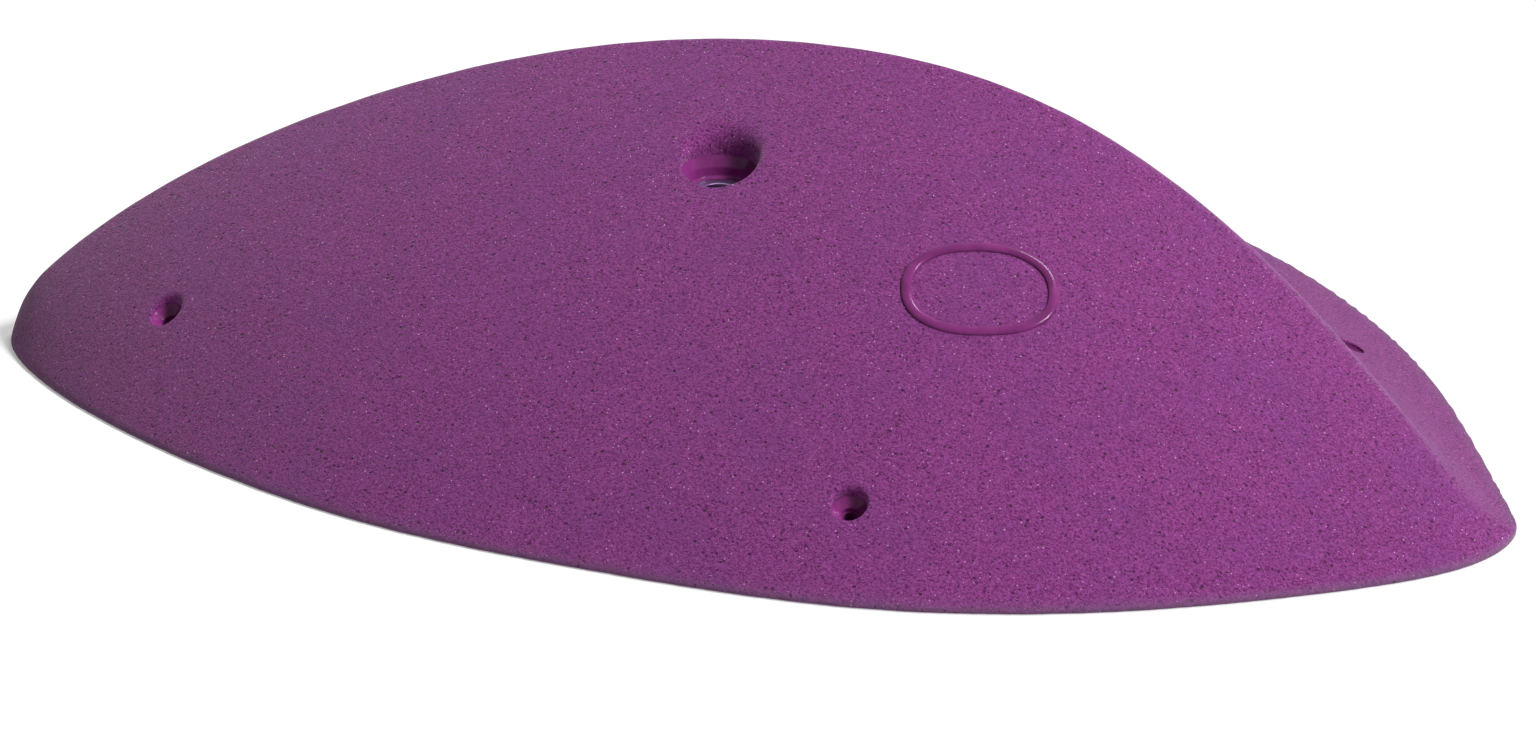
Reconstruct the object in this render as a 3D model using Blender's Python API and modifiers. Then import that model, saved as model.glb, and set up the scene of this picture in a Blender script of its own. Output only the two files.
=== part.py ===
# Sloper hold: a large hollow-backed climbing hold of cast polyurethane with a moulded-in steel washer.
# It lies on its flat back, the plane Z = 0. X runs along its length and Y from front edge to back edge.
# Units are metres.
import math

import bmesh
import bpy
import numpy as np
from mathutils import Matrix, Quaternion, Vector

# Overall sizes
BODY_LENGTH = 0.594  # left tip to right tip
FRONT_REACH = 0.135  # line through the tips to the front edge
BACK_REACH = 0.276  # line through the tips to the back edge
CREST_REACH = 0.086  # line through the tips to the crest, where the crest bows out most
CREST_RISE = 0.1235  # top of the upright edge to the top of the crest
EDGE_HEIGHT = 0.0015  # upright edge all round the base

# Shape curves: shares of the sizes above at even turns from the left tip to the right tip
FRONT_SHAPE = (0, 0.20, 0.45, 0.71, 0.92, 1, 0.99, 0.81, 0.53, 0.27, 0)
BACK_SHAPE = (0, 0.16, 0.38, 0.61, 0.81, 0.95, 1, 0.80, 0.48, 0.15, 0)
CREST_SHAPE = (0, 0.11, 0.36, 0.64, 0.87, 1, 0.98, 0.74, 0.31, 0.02, 0)
RISE_SHAPE = (0, 0.20, 0.46, 0.72, 0.92, 1, 0.91, 0.63, 0.305, 0.075, 0)
SOFT_SHAPE = (1, 0.83, 0.67, 0.50, 0.37, 0.27, 0.17, 0.10, 0.07, 0.60, 1)

# Sections: how the front bulges, how the back flattens to a flange, and how soft the crest is
FRONT_BULGE = 0.38
FLANGE_SHARE = 0.36
BACK_HOLLOW = 3.0
CREST_SOFTNESS = 0.030
CREST_SOFT_LIMIT = 1.2  # times the local rise

# Hollow back
WALL = 0.012
CORE_LIP = 0.001  # upright part of the hollow's wall at the back
CORE_LEAST = 0.006  # height of the hollow's roof where the hollow ends, near the tips
RIB_WIDTH = 0.010
RIB_SETBACK = 0.004  # how far a rib stops short of the wall that the hold is bolted to
BACK_RIB_X = -0.095  # where the rib to the back edge ends

# Bolt hole, for an M10 socket head bolt
BOLT_X = -0.009
BOLT_Y = 0.0185  # from the line through the tips
BOLT_DEPTH = 0.0108  # surface on the bolt's axis to the washer
BOLT_BORE_R = 0.006
SEAT_R = 0.0096
SHELF_R = 0.0113
SHELF_HEIGHT = 0.0008  # above the washer, where the shelf over its rim meets the wall
STEP_R = 0.0118
STEP_HEIGHT = 0.0042  # above the washer
MOUTH_R = 0.014
MOUTH_HEIGHT = 0.0080  # above the washer
FLARE_DRAFT = 0.08  # widening of the mouth for each unit of height
BOLT_COLUMN_R = 0.024

# Moulded-in washer
WASHER_R = 0.012
WASHER_BORE_R = 0.0053
WASHER_THICKNESS = 0.002
WASHER_CHAMFER = 0.0003

# Screw holes, for countersunk wood screws
LEFT_SCREW_TIP_INSET = 0.0845  # from the left tip
LEFT_SCREW_INSET = 0.040  # from the front edge
RIGHT_SCREW_TIP_INSET = 0.088  # from the right tip
RIGHT_SCREW_INSET = 0.0513  # from the back edge
FRONT_SCREW_X = 0.0815
FRONT_SCREW_INSET = 0.0326  # from the front edge
SCREW_LEAN = 0.58  # share of the surface's slope by which a screw leans from upright
THROAT_R = 0.0025
LAND_R = 0.0031
LAND_DEPTH = 0.0015  # flat land below the cone, down to the throat
CONE_R = 0.00625
CONE_DEPTH = 0.0050  # surface on the screw's axis to the foot of the cone
SCREW_COLUMN_R = 0.013

# Fits and mesh detail
CLEARANCE = 0.0003
BODY_STATIONS, BODY_FRONT_STEPS, BODY_BACK_STEPS = 56, 14, 16
CORE_STATIONS, CORE_FRONT_STEPS, CORE_BACK_STEPS = 36, 9, 10
ROUND_STEPS = 32
SEARCH_STEPS = 601  # samples where a place on the surface is searched for
STEP_CROWDING = 1.8  # how strongly the steps crowd towards the crest
CUT_MARGIN = 0.010  # how far cutters reach past what they cut
LEAN_STRETCH = 1.5  # how much longer a cutter is made, so that it still reaches when it leans
MERGE = 0.00001
SHARP_ANGLE = math.radians(40)

BODY_COLOUR = (0.235, 0.045, 0.225, 1)
BODY_ROUGHNESS = 0.85
STEEL_COLOUR = (0.55, 0.56, 0.60, 1)
STEEL_ROUGHNESS = 0.3


def curve_value(shape, turn):
    """Natural cubic spline through the evenly spaced values of a shape."""
    values = np.array(shape, float)
    spans = len(values) - 1
    system = np.eye(spans + 1)
    bends = np.zeros(spans + 1)
    for i in range(1, spans):
        system[i, i - 1:i + 2] = 1, 4, 1
        bends[i] = 6 * (values[i - 1] - 2 * values[i] + values[i + 1])
    bends = np.linalg.solve(system, bends)
    span = np.clip(np.floor(turn * spans).astype(int), 0, spans - 1)
    part = turn * spans - span
    straight = (1 - part) * values[span] + part * values[span + 1]
    pull = (2 - part) * bends[span] + (1 + part) * bends[span + 1]
    return straight - part * (1 - part) * pull / 6


def turn_at(x):
    """Turn from the left tip, 0, to the right tip, 1, of the station at x."""
    return np.arccos(np.clip(-2 * x / BODY_LENGTH, -1, 1)) / math.pi


def front_edge(x):
    return -FRONT_REACH * curve_value(FRONT_SHAPE, turn_at(x))


def back_edge(x):
    return BACK_REACH * curve_value(BACK_SHAPE, turn_at(x))


def crest_line(x):
    return CREST_REACH * curve_value(CREST_SHAPE, turn_at(x))


def surface_height(x, y):
    """Height of the outer surface: the lower of the front face and the back face, blended at the crest."""
    turn = turn_at(x)
    rise = CREST_RISE * curve_value(RISE_SHAPE, turn)
    soft = np.minimum(CREST_SOFTNESS * curve_value(SOFT_SHAPE, turn), CREST_SOFT_LIMIT * np.maximum(rise, 0))
    soft = np.maximum(soft, MERGE)
    front, crest, back = front_edge(x), crest_line(x), back_edge(x)
    up_front = (y - front) / np.maximum(crest - front, MERGE)
    up_back = (back - y) / np.maximum(back - crest, MERGE)
    bulge = up_front + FRONT_BULGE * up_front * (1 - up_front)
    beyond = 1 + (1 - FRONT_BULGE) * (up_front - 1)
    front_face = np.where(up_front < 1, bulge, beyond)
    hollow = np.sign(up_back) * np.abs(up_back) ** BACK_HOLLOW
    back_face = FLANGE_SHARE * up_back + (1 - FLANGE_SHARE) * hollow
    peak = rise + soft / 4
    front_face, back_face = peak * front_face, peak * back_face
    overlap = np.maximum(soft - np.abs(front_face - back_face), 0)
    return EDGE_HEIGHT + np.minimum(front_face, back_face) - overlap ** 2 / (4 * soft)


def surface_slope(x, y):
    step = WALL / 20
    slope_x = (surface_height(x + step, y) - surface_height(x - step, y)) / (2 * step)
    slope_y = (surface_height(x, y + step) - surface_height(x, y - step)) / (2 * step)
    return slope_x, slope_y


def roof_height(x, y):
    """Height of the hollow's roof: the outer surface less a wall measured square to it."""
    slope_x, slope_y = surface_slope(x, y)
    return surface_height(x, y) - WALL * np.sqrt(1 + slope_x ** 2 + slope_y ** 2)


def roof_crossings(x):
    """Where the hollow's roof comes down to its lip, in front and behind, at each station of a column x."""
    y = front_edge(x) + (back_edge(x) - front_edge(x)) * np.linspace(0, 1, SEARCH_STEPS)
    roof = roof_height(x, y) - CORE_LIP
    station = np.arange(len(x))
    found = []
    for side in (1, -1):
        heights, places = roof[:, ::side], y[:, ::side]
        after = np.maximum((heights > 0).argmax(axis=1), 1)
        low, high = heights[station, after - 1], heights[station, after]
        part = low / (low - high)
        found.append(places[station, after - 1] * (1 - part) + places[station, after] * part)
    return found[0][:, None], found[1][:, None]


def roof_ends():
    """The stations nearest the tips where the hollow is still high enough."""
    x = np.linspace(-BODY_LENGTH / 2, BODY_LENGTH / 2, SEARCH_STEPS)[1:-1, None]
    y = front_edge(x) + (back_edge(x) - front_edge(x)) * np.linspace(0, 1, SEARCH_STEPS)
    high = x[roof_height(x, y).max(axis=1) > CORE_LEAST]
    return float(high.min()), float(high.max())


def edge_middle():
    """Halfway from the front-most to the back-most point, measured from the line through the tips."""
    x = np.linspace(-BODY_LENGTH / 2, BODY_LENGTH / 2, SEARCH_STEPS)
    return (front_edge(x).min() + back_edge(x).max()) / 2


def station_column(start, end, stations):
    """Stations between two ends, crowded towards both."""
    sweep = np.cos(math.pi * np.linspace(0, 1, stations + 1))[:, None]
    return (start + end) / 2 - (end - start) / 2 * sweep


def loft_grid(x, front, crest, back, front_steps, back_steps):
    """Plan positions of a loft's points: steps from the front edge over the crest to the back edge."""
    climb = 1 - (1 - np.linspace(0, 1, front_steps + 1)) ** STEP_CROWDING
    fall = np.linspace(0, 1, back_steps + 1)[1:] ** STEP_CROWDING
    y = np.concatenate([front + (crest - front) * climb, crest + (back - crest) * fall], axis=1)
    return np.broadcast_to(x, y.shape), y


def closed_loft(name, x, y, z, floor, collection):
    """A solid with a lofted top, upright sides down from its edges, flat ends and a flat floor."""
    stations, steps = x.shape
    sides = [(x[:, edge], y[:, edge], np.full(stations, floor)) for edge in (0, -1)]
    points = np.concatenate([np.stack([x, y, z], -1).reshape(-1, 3)] + [np.stack(side, -1) for side in sides])
    top = np.arange(stations * steps).reshape(stations, steps)
    low_front = stations * steps + np.arange(stations)
    low_back = low_front + stations
    rows = np.column_stack([low_front, top, low_back, low_front])
    here, after = rows[:-1], rows[1:]
    faces = np.stack([here[:, :-1], after[:, :-1], after[:, 1:], here[:, 1:]], -1).reshape(-1, 4)
    ends = [rows[0, :-1].tolist(), rows[-1, :-1].tolist()]
    mesh = bpy.data.meshes.new(name)
    mesh.from_pydata(points.tolist(), [], faces.tolist() + ends)
    shape = bmesh.new()
    shape.from_mesh(mesh)
    bmesh.ops.remove_doubles(shape, verts=shape.verts, dist=MERGE)
    bmesh.ops.dissolve_degenerate(shape, dist=MERGE, edges=shape.edges)
    bmesh.ops.recalc_face_normals(shape, faces=shape.faces)
    shape.to_mesh(mesh)
    shape.free()
    return add_object(name, mesh, collection)


def add_object(name, mesh, collection):
    item = bpy.data.objects.new(name, mesh)
    collection.objects.link(item)
    if collection.name.endswith("cutters"):
        item.hide_render = True
        item.display_type = "WIRE"
    return item


def turned(name, profile, place, collection, lean=Quaternion()):
    """A turned solid: a profile of (radius, height) points, swept round an upright or leaning axis at place."""
    mesh = bpy.data.meshes.new(name)
    edges = [(i, i + 1) for i in range(len(profile) - 1)]
    if profile[0][0] > 0:
        edges.append((len(profile) - 1, 0))
    mesh.from_pydata([(radius, 0, height) for radius, height in profile], edges, [])
    item = add_object(name, mesh, collection)
    item.location = place
    item.rotation_mode = "QUATERNION"
    item.rotation_quaternion = lean
    sweep = item.modifiers.new("Turn", "SCREW")
    sweep.steps = sweep.render_steps = ROUND_STEPS
    sweep.use_merge_vertices = True
    sweep.merge_threshold = MERGE
    return item


def column(name, place, radius, collection, lean=Quaternion()):
    """A plug of solid casting, from below the back to above the surface at place."""
    level = float(surface_height(*place))
    top, low = 2 * CUT_MARGIN, -LEAN_STRETCH * (level + 2 * CUT_MARGIN)
    return turned(name, [(0, top), (radius, top), (radius, low), (0, low)],
                  (place[0], place[1], level), collection, lean)


def rib(name, start, end, collection):
    """An upright web of solid casting between two places."""
    low, high = RIB_SETBACK, EDGE_HEIGHT + CREST_RISE + CUT_MARGIN
    run = math.dist(start, end)
    mesh = bpy.data.meshes.new(name)
    shape = bmesh.new()
    bmesh.ops.create_cube(shape, size=1)
    bmesh.ops.scale(shape, verts=shape.verts, vec=(run, RIB_WIDTH, high - low))
    turn = Matrix.Rotation(math.atan2(end[1] - start[1], end[0] - start[0]), 4, "Z")
    middle = Matrix.Translation(((start[0] + end[0]) / 2, (start[1] + end[1]) / 2, (low + high) / 2))
    bmesh.ops.transform(shape, verts=shape.verts, matrix=middle @ turn)
    shape.to_mesh(mesh)
    shape.free()
    return add_object(name, mesh, collection)


def cut(item, cutter):
    step = item.modifiers.new(cutter.name, "BOOLEAN")
    step.operation = "DIFFERENCE"
    step.solver = "EXACT"
    step.object = cutter


def surface_material(name, colour, roughness, metallic):
    material = bpy.data.materials.new(name)
    material.use_nodes = True
    shader = material.node_tree.nodes["Principled BSDF"]
    shader.inputs["Base Color"].default_value = colour
    shader.inputs["Roughness"].default_value = roughness
    shader.inputs["Metallic"].default_value = metallic
    return material


def screw_places():
    """Plan places of the three screws, measured from the line through the tips."""
    left = -BODY_LENGTH / 2 + LEFT_SCREW_TIP_INSET
    right = BODY_LENGTH / 2 - RIGHT_SCREW_TIP_INSET
    return {
        "left": (left, float(front_edge(left)) + LEFT_SCREW_INSET),
        "front": (FRONT_SCREW_X, float(front_edge(FRONT_SCREW_X)) + FRONT_SCREW_INSET),
        "right": (right, float(back_edge(right)) - RIGHT_SCREW_INSET),
    }


def screw_lean(place):
    """Turn of a screw's axis from upright, part of the way to square to the surface."""
    slope_x, slope_y = surface_slope(*place)
    square = Vector((0, 0, 1)).rotation_difference(Vector((-slope_x, -slope_y, 1)))
    return Quaternion().slerp(square, SCREW_LEAN)


def screw_middle(place):
    """Plan place of a leaning screw's axis halfway from the surface to the back."""
    axis = screw_lean(place) @ Vector((0, 0, 1))
    down = float(surface_height(*place)) / 2
    return place[0] - axis.x / axis.z * down, place[1] - axis.y / axis.z * down


def washer_top():
    return float(surface_height(BOLT_X, BOLT_Y)) - BOLT_DEPTH


def make_core(screws, cutters):
    """The hollow in the back, less the columns round the bolt and screws and the ribs that join them."""
    x = station_column(*roof_ends(), CORE_STATIONS)
    front, back = roof_crossings(x)
    crest = np.clip(crest_line(x), front, back)
    x, y = loft_grid(x, front, crest, back, CORE_FRONT_STEPS, CORE_BACK_STEPS)
    core = closed_loft("core", x, y, np.maximum(roof_height(x, y), CORE_LIP), -CUT_MARGIN, cutters)
    bolt = (BOLT_X, BOLT_Y)
    cut(core, column("bolt_column", bolt, BOLT_COLUMN_R, cutters))
    for name, place in screws.items():
        cut(core, column(name + "_screw_column", place, SCREW_COLUMN_R, cutters, screw_lean(place)))
        cut(core, rib(name + "_rib", bolt, screw_middle(place), cutters))
    cut(core, rib("back_rib", bolt, (BACK_RIB_X, float(back_edge(BACK_RIB_X))), cutters))
    return core


def make_bolt_cutters(cutters):
    """The stepped recess down to the washer, the washer's pocket and the bore below it."""
    top = washer_top()
    mouth_top = CREST_RISE + CUT_MARGIN - top + MOUTH_HEIGHT
    mouth_top_r = MOUTH_R + FLARE_DRAFT * (mouth_top - MOUTH_HEIGHT)
    pocket_low = -WASHER_THICKNESS - CLEARANCE
    inside_pocket = -WASHER_THICKNESS / 2
    recess = [(0, mouth_top), (mouth_top_r, mouth_top), (MOUTH_R, MOUTH_HEIGHT), (STEP_R, STEP_HEIGHT),
              (SHELF_R, SHELF_HEIGHT), (SEAT_R, CLEARANCE), (SEAT_R, inside_pocket), (0, inside_pocket)]
    pocket_r = WASHER_R + CLEARANCE
    pocket = [(0, CLEARANCE), (pocket_r, CLEARANCE), (pocket_r, pocket_low), (0, pocket_low)]
    low = -top - CUT_MARGIN
    bore = [(0, -WASHER_THICKNESS), (BOLT_BORE_R, -WASHER_THICKNESS), (BOLT_BORE_R, low), (0, low)]
    place = (BOLT_X, BOLT_Y, top)
    return [turned("bolt_recess", recess, place, cutters), turned("washer_pocket", pocket, place, cutters),
            turned("bolt_bore", bore, place, cutters)]


def screw_cutter(name, place, cutters):
    """The countersunk cone, its land and the through throat of one screw."""
    level = float(surface_height(*place))
    mouth_top = 2 * CUT_MARGIN
    mouth_top_r = CONE_R + FLARE_DRAFT * mouth_top
    land = -CONE_DEPTH - LAND_DEPTH
    low = -LEAN_STRETCH * (level + CUT_MARGIN)
    profile = [(0, mouth_top), (mouth_top_r, mouth_top), (CONE_R, 0), (LAND_R, -CONE_DEPTH), (LAND_R, land),
               (THROAT_R, land), (THROAT_R, low), (0, low)]
    return turned(name + "_screw_hole", profile, (place[0], place[1], level), cutters, screw_lean(place))


def make_body(parts, cutters):
    """The cast body: lofted outside, hollow inside, with its bolt recess and screw holes."""
    x = station_column(-BODY_LENGTH / 2, BODY_LENGTH / 2, BODY_STATIONS)
    x, y = loft_grid(x, front_edge(x), crest_line(x), back_edge(x), BODY_FRONT_STEPS, BODY_BACK_STEPS)
    body = closed_loft("hold_body", x, y, surface_height(x, y), 0, parts)
    screws = screw_places()
    cut(body, make_core(screws, cutters))
    for cutter in make_bolt_cutters(cutters):
        cut(body, cutter)
    for name, place in screws.items():
        cut(body, screw_cutter(name, place, cutters))
    body.data.shade_smooth()
    body.data.set_sharp_from_angle(angle=SHARP_ANGLE)
    body.data.materials.append(surface_material("cast_polyurethane", BODY_COLOUR, BODY_ROUGHNESS, 0))
    return body


def make_washer(parts):
    """The steel washer that the bolt head bears on, held in its pocket."""
    outer, inner, deep, bevel = WASHER_R, WASHER_BORE_R, -WASHER_THICKNESS, WASHER_CHAMFER
    profile = [(outer - bevel, 0), (outer, -bevel), (outer, deep + bevel), (outer - bevel, deep),
               (inner + bevel, deep), (inner, deep + bevel), (inner, -bevel), (inner + bevel, 0)]
    washer = turned("bolt_washer", profile, (BOLT_X, BOLT_Y, washer_top()), parts)
    washer.data.materials.append(surface_material("zinc_plated_steel", STEEL_COLOUR, STEEL_ROUGHNESS, 1))
    return washer


def main():
    for item in list(bpy.data.objects):
        bpy.data.objects.remove(item, do_unlink=True)
    parts = bpy.data.collections.new("sloper_hold")
    cutters = bpy.data.collections.new("sloper_hold_cutters")
    for collection in (parts, cutters):
        bpy.context.scene.collection.children.link(collection)
    base = bpy.data.objects.new("sloper_hold_base", None)
    parts.objects.link(base)
    base.location = (0, -edge_middle(), 0)
    for item in [make_body(parts, cutters), make_washer(parts)] + list(cutters.objects):
        item.parent = base


main()
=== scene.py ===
import math

import bmesh
import bpy
import numpy as np
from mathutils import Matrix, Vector


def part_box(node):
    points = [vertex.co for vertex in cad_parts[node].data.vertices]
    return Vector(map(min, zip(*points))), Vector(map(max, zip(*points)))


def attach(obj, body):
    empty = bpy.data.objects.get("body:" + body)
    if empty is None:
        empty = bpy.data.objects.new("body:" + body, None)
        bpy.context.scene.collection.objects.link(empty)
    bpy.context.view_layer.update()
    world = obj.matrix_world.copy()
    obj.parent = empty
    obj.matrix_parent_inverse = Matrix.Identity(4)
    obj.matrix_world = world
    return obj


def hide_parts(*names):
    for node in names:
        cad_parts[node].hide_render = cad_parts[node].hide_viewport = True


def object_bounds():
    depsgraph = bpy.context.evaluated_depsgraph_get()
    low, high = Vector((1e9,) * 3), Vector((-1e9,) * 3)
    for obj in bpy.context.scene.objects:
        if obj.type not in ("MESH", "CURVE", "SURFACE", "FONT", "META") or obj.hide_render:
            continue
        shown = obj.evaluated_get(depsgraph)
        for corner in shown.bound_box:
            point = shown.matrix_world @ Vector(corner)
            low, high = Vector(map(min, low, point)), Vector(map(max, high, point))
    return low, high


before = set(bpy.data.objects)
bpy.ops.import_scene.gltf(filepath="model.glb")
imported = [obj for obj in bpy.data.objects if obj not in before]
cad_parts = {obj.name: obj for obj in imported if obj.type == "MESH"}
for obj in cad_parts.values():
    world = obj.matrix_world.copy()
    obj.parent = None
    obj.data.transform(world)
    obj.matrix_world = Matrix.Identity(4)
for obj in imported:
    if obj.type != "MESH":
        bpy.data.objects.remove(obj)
cadLow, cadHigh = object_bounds()
washerLow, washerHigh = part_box("bolt_washer")
mm = 0.001
fullTurn = 6.28  # radians, rounded
print("frame loaded, CAD box in mm:", [round(v / mm, 1) for v in (*cadLow, *cadHigh)])

# The casting's form. The lists are shares of a size at even turns from the left tip to the right tip.
holdForm = {
    "length": 0.594, "frontReach": 0.135, "backReach": 0.276, "crestReach": 0.086, "crestRise": 0.1235,
    "edgeHeight": 0.0015, "crestSoftness": 0.030, "softLimit": 1.2,
    "front": (0, 0.20, 0.45, 0.71, 0.92, 1, 0.99, 0.81, 0.53, 0.27, 0),
    "back": (0, 0.16, 0.38, 0.61, 0.81, 0.95, 1, 0.80, 0.48, 0.15, 0),
    "crest": (0, 0.11, 0.36, 0.64, 0.87, 1, 0.98, 0.74, 0.32, 0.02, 0),
    "rise": (0, 0.20, 0.46, 0.72, 0.92, 1, 0.91, 0.63, 0.31, 0.075, 0),
    "soft": (1, 0.83, 0.67, 0.50, 0.37, 0.27, 0.17, 0.10, 0.07, 0.60, 1),
    "frontBulge": 0.38, "flangeShare": 0.36, "backHollow": 3.0,
    "handWork": 0.0003, "handWorkLengths": (0.061, 0.037, 0.023), "handWorkTilt": (0.4, 0.3),
    "handWorkFade": (0.002, 0.012), "tipFade": 0.06,
    "edgeRipple": 0.0003, "rippleWaves": ((0.0031, 0, 0.25), (0.0052, 1, 0.3), (0.0113, 2, 0.25), (0.029, 0.5, 0.2)),
    "edgeJag": 0.0016, "jagLengths": (0.00047, 0.00031), "leastJag": 0.15, "jagStart": (0.04, 0.16),
}
samples = 601  # places along or across the hold where a curve is searched
tiny = 1e-7


def curveValue(values, turn):
    # natural cubic spline through evenly spaced values
    values = np.array(values, float)
    spans = len(values) - 1
    bends = np.zeros(spans + 1)
    bends[1:-1] = 6 * (values[:-2] - 2 * values[1:-1] + values[2:])
    system = np.eye(spans + 1)
    inner = np.arange(1, spans)
    system[inner, inner - 1] = system[inner, inner + 1] = 1
    system[inner, inner] = 4
    bends = np.linalg.solve(system, bends)
    span = np.clip(np.floor(turn * spans).astype(int), 0, spans - 1)
    part = turn * spans - span
    straight = (1 - part) * values[span] + part * values[span + 1]
    return straight - part * (1 - part) * ((2 - part) * bends[span] + (1 + part) * bends[span + 1]) / 6


def smoothStep(low, high, value):
    # 0 below low, 1 above high and a cubic ease between them
    share = np.clip((value - low) / (high - low), 0, 1)
    return share * share * (3 - 2 * share)


def turnAt(x):
    # the angle of a half circle from tip to tip, as a share from 0 to 1
    return np.arccos(np.clip(-2 * x / holdForm["length"], -1, 1)) / math.pi


def tipLineToFront(x):
    return -holdForm["frontReach"] * curveValue(holdForm["front"], turnAt(x))


def tipLineToBack(x):
    return holdForm["backReach"] * curveValue(holdForm["back"], turnAt(x))


allAlong = np.linspace(-holdForm["length"] / 2, holdForm["length"] / 2, samples)
tipLineY = -(tipLineToFront(allAlong).min() + tipLineToBack(allAlong).max()) / 2  # the line through both tips


def tipFade(x):
    # 0 at both tips, and 1 from a little way inside them
    return smoothStep(0, holdForm["tipFade"], turnAt(x) * (1 - turnAt(x)))


def edgeRipple(x, shift=0):
    # sine waves of the trimmed edge, each with its length, phase and share, from none to the full depth inwards
    waves = sum(np.sin((x + shift) / length + phase) * share for length, phase, share in holdForm["rippleWaves"])
    return holdForm["edgeRipple"] * (0.5 + 0.5 * waves) * tipFade(x)


def frontEdge(x):
    return tipLineY + tipLineToFront(x) + edgeRipple(x)


def backEdge(x):
    return tipLineY + tipLineToBack(x) - edgeRipple(x, shift=0.1)


def crestLine(x):
    return tipLineY + holdForm["crestReach"] * curveValue(holdForm["crest"], turnAt(x))


def skinHeight(x, y):
    # the lower of a bulging front face and a hollow back face, joined by a smooth minimum at the crest,
    # less a shallow unevenness of crossed sine waves that fades out towards the edge
    turn = turnAt(x)
    rise = holdForm["crestRise"] * curveValue(holdForm["rise"], turn)
    soft = holdForm["crestSoftness"] * curveValue(holdForm["soft"], turn)
    soft = np.maximum(np.minimum(soft, holdForm["softLimit"] * np.maximum(rise, 0)), tiny)
    front, crest, back = frontEdge(x), crestLine(x), backEdge(x)
    upFront = (y - front) / np.maximum(crest - front, tiny)
    upBack = (back - y) / np.maximum(back - crest, tiny)
    bulge = holdForm["frontBulge"]
    frontFace = np.where(upFront < 1, upFront + bulge * upFront * (1 - upFront), 1 + (1 - bulge) * (upFront - 1))
    hollow = np.sign(upBack) * np.abs(upBack) ** holdForm["backHollow"]
    backFace = holdForm["flangeShare"] * upBack + (1 - holdForm["flangeShare"]) * hollow
    peak = rise + soft / 4
    overlap = np.maximum(soft - peak * np.abs(frontFace - backFace), 0)
    height = holdForm["edgeHeight"] + peak * np.minimum(frontFace, backFace) - overlap ** 2 / (4 * soft)
    uneven, (tiltX, tiltY) = 0, holdForm["handWorkTilt"]
    for i, wave in enumerate(holdForm["handWorkLengths"]):
        oneWay = np.sin(fullTurn * (x + tiltX * y) / wave + i)
        uneven = uneven + oneWay * np.sin(fullTurn * (y - tiltY * x) / wave + 2 * i) / 3
    return height - holdForm["handWork"] * (0.5 + 0.5 * uneven) * smoothStep(*holdForm["handWorkFade"], height)


def skinSlope(x, y, step=0.0004):
    return ((skinHeight(x + step, y) - skinHeight(x - step, y)) / (2 * step),
            (skinHeight(x, y + step) - skinHeight(x, y - step)) / (2 * step))


def roundedProfile(corners, radii, steps=4):
    # each corner becomes a quadratic curve that starts and ends one radius away from it
    corners = np.array(corners, float)
    share = np.linspace(0, 1, steps + 1)[:, None]
    out = [corners[:1]]
    for i in range(1, len(corners) - 1):
        before, corner, after = corners[i - 1], corners[i], corners[i + 1]
        reach = min(radii[i], 0.45 * np.linalg.norm(before - corner), 0.45 * np.linalg.norm(after - corner))
        start = corner + (before - corner) / np.linalg.norm(before - corner) * reach
        end = corner + (after - corner) / np.linalg.norm(after - corner) * reach
        out.append((1 - share) ** 2 * start + 2 * share * (1 - share) * corner + share ** 2 * end)
    return np.concatenate(out + [corners[-1:]])


def meshObject(name, points, faces, weld=1e-6):
    # a mesh from arrays, its seams and poles merged and its faces turned outwards
    mesh = bpy.data.meshes.new(name)
    mesh.from_pydata(np.asarray(points).tolist(), [], faces)
    shape = bmesh.new()
    shape.from_mesh(mesh)
    bmesh.ops.remove_doubles(shape, verts=shape.verts, dist=weld)
    bmesh.ops.dissolve_degenerate(shape, dist=weld, edges=shape.edges)
    bmesh.ops.delete(shape, geom=[v for v in shape.verts if not v.link_faces], context="VERTS")
    bmesh.ops.recalc_face_normals(shape, faces=shape.faces)
    shape.to_mesh(mesh)
    shape.free()
    item = bpy.data.objects.new(name, mesh)
    bpy.context.scene.collection.objects.link(item)
    return item


def ringFaces(rings, around):
    # quads between neighbouring closed rings of points
    ring, at = np.meshgrid(np.arange(rings - 1), np.arange(around), indexing="ij")
    nextAt = (at + 1) % around
    return np.stack([ring * around + at, ring * around + nextAt, (ring + 1) * around + nextAt,
                     (ring + 1) * around + at], -1).reshape(-1, 4)


def sheetFaces(grid):
    # the quads of a sheet of points, and the quads that join its two long edges
    quads = np.stack([grid[:-1, :-1], grid[1:, :-1], grid[1:, 1:], grid[:-1, 1:]], -1)
    return quads, np.stack([grid[:-1, 0], grid[:-1, -1], grid[1:, -1], grid[1:, 0]], -1)


def axisFrame(axis):
    # the axis and two directions square to it, the first as near to X as it can be
    axis = np.array(axis, float) / np.linalg.norm(axis)
    across = np.array([1.0, 0, 0]) - axis[0] * axis
    across /= np.linalg.norm(across)
    return axis, across, np.cross(axis, across)


def turnedSolid(name, profile, centre, axis=(0, 0, 1), around=96):
    # a profile of (radius, height) carried round an axis; its ends on the axis close by themselves
    axis, across, up = axisFrame(axis)
    profile = np.array(profile, float)
    angle = np.linspace(0, 2 * math.pi, around, endpoint=False)[None, :, None]
    radius, height = profile[:, None, :1], profile[:, None, 1:]
    points = np.array(centre) + height * axis + radius * (np.cos(angle) * across + np.sin(angle) * up)
    return meshObject(name, points.reshape(-1, 3), ringFaces(len(profile), around).tolist())


def cutWith(item, cutters):
    # the item less the cutters, which are then removed
    for cutter in cutters:
        step = item.modifiers.new(cutter.name, "BOOLEAN")
        step.operation, step.solver, step.object = "DIFFERENCE", "MANIFOLD", cutter
    evaluated = item.evaluated_get(bpy.context.evaluated_depsgraph_get())
    mesh = bpy.data.meshes.new_from_object(evaluated)
    item.modifiers.clear()
    item.data = mesh
    for cutter in cutters:
        bpy.data.objects.remove(cutter)
    return item


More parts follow.
